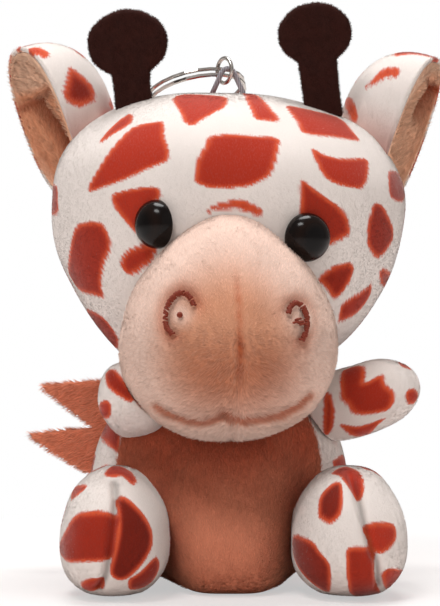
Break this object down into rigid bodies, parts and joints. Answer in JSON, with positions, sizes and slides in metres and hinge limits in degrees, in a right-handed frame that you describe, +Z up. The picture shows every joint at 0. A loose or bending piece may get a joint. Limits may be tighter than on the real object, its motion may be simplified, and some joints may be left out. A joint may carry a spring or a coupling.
{
  "type": "plush giraffe",
  "caption": "Small seated plush giraffe with a big round head, felt horns, folded ears, soft flexing limbs and a hanging loop with rings on its crown.",
  "frame": {"origin": "on the surface that the toy sits on, under the middle of its body", "axes": "+Z up, the face points along -Y, and the giraffe's own left is at +X"},
  "size_m": [0.0835, 0.0831, 0.1078],
  "materials": {
    "printed_plush": "short pile, white with red-brown patches",
    "peach_plush": "short pile",
    "belly_plush": "short pile",
    "lining_plush": "short pile",
    "mane_plush": "short pile",
    "dark_brown_felt": "felt",
    "stuffing_fibre": "loose fibre",
    "brown_thread": "embroidery thread",
    "grey_cord": "twisted cord",
    "eye_plastic": "gloss",
    "white_plastic": "satin",
    "plated_steel": "bright plated"
  },
  "bodies": {
    "torso": {"belly_panel": "belly_plush", "back_panel": "printed_plush", "body_stuffing": "stuffing_fibre", "mane_body": "mane_plush"},
    "head": {"head_cover": "printed_plush", "head_stuffing": "stuffing_fibre", "muzzle_panel_left": "peach_plush", "muzzle_panel_right": "peach_plush", "nostril_left": "brown_thread", "nostril_right": "brown_thread", "mouth_stitching": "brown_thread", "eye_left": "eye_plastic", "eye_right": "eye_plastic", "eye_washer_left": "white_plastic", "eye_washer_right": "white_plastic", "mane_head": "mane_plush", "hang_loop": "grey_cord"},
    "ear_left": {"ear_left_back": "printed_plush", "ear_left_lining": "lining_plush"},
    "ear_right": {"ear_right_back": "printed_plush", "ear_right_lining": "lining_plush"},
    "horn_left": {"horn_left": "dark_brown_felt"},
    "horn_right": {"horn_right": "dark_brown_felt"},
    "arm_left": {"arm_left_cover": "printed_plush", "arm_left_stuffing": "stuffing_fibre"},
    "arm_right": {"arm_right_cover": "printed_plush", "arm_right_stuffing": "stuffing_fibre"},
    "leg_left": {"leg_left_cover": "printed_plush", "leg_left_stuffing": "stuffing_fibre"},
    "leg_right": {"leg_right_cover": "printed_plush", "leg_right_stuffing": "stuffing_fibre"},
    "tail": {"tail": "mane_plush"},
    "jump_ring": {"jump_ring": "plated_steel"},
    "split_ring": {"split_ring": "plated_steel"}
  },
  "joints": [
    {"name": "head_nod", "type": "hinge", "parent": "torso", "child": "head", "pos_m": [0, 0.002, 0.037], "axis": [1, 0, 0], "range_deg": [-8, 0], "stiffness_Nm_per_rad": 0.2},
    {"name": "ear_left_flex", "type": "hinge", "parent": "head", "child": "ear_left", "pos_m": [0.02692, 0.001, 0.0805], "axis": [-0.6599, 0, 0.7513], "range_deg": [-10, 10], "stiffness_Nm_per_rad": 0.01},
    {"name": "ear_right_flex", "type": "hinge", "parent": "head", "child": "ear_right", "pos_m": [-0.02848, 0.001, 0.0805], "axis": [0.5643, 0, 0.8255], "range_deg": [-10, 10], "stiffness_Nm_per_rad": 0.01},
    {"name": "horn_left_flex", "type": "hinge", "parent": "head", "child": "horn_left", "pos_m": [0.0176, -0.008, 0.08845], "axis": [1, 0, 0], "range_deg": [-10, 10], "stiffness_Nm_per_rad": 0.01},
    {"name": "horn_right_flex", "type": "hinge", "parent": "head", "child": "horn_right", "pos_m": [-0.0176, -0.008, 0.08966], "axis": [1, 0, 0], "range_deg": [-10, 10], "stiffness_Nm_per_rad": 0.01},
    {"name": "arm_left_flex", "type": "hinge", "parent": "torso", "child": "arm_left", "pos_m": [0.017, -0.0065, 0.0311], "axis": [0, 1, 0], "range_deg": [-6, 25], "stiffness_Nm_per_rad": 0.03},
    {"name": "arm_right_flex", "type": "hinge", "parent": "torso", "child": "arm_right", "pos_m": [-0.016, -0.011, 0.0323], "axis": [1, 0, 0], "range_deg": [0, 12], "stiffness_Nm_per_rad": 0.03},
    {"name": "leg_left_flex", "type": "hinge", "parent": "torso", "child": "leg_left", "pos_m": [0.0197, -0.01171, 0.0105], "axis": [1, 0, 0], "range_deg": [-12, 6], "stiffness_Nm_per_rad": 0.05},
    {"name": "leg_right_flex", "type": "hinge", "parent": "torso", "child": "leg_right", "pos_m": [-0.0219, -0.0136, 0.0105], "axis": [1, 0, 0], "range_deg": [-12, 6], "stiffness_Nm_per_rad": 0.05},
    {"name": "tail_flex", "type": "hinge", "parent": "torso", "child": "tail", "pos_m": [-0.0017, 0.02227, 0.01057], "axis": [1, 0, 0], "range_deg": [-15, 15], "stiffness_Nm_per_rad": 0.005},
    {"name": "jump_ring_swing", "type": "hinge", "parent": "head", "child": "jump_ring", "pos_m": [0, 0.005, 0.09675], "axis": [0.8192, 0.5736, 0], "range_deg": [0, 60]},
    {"name": "split_ring_swing", "type": "hinge", "parent": "jump_ring", "child": "split_ring", "pos_m": [-0.00108, 0.00654, 0.09624], "axis": [0.8192, 0.5736, 0], "range_deg": [0, 45]}
  ]
}
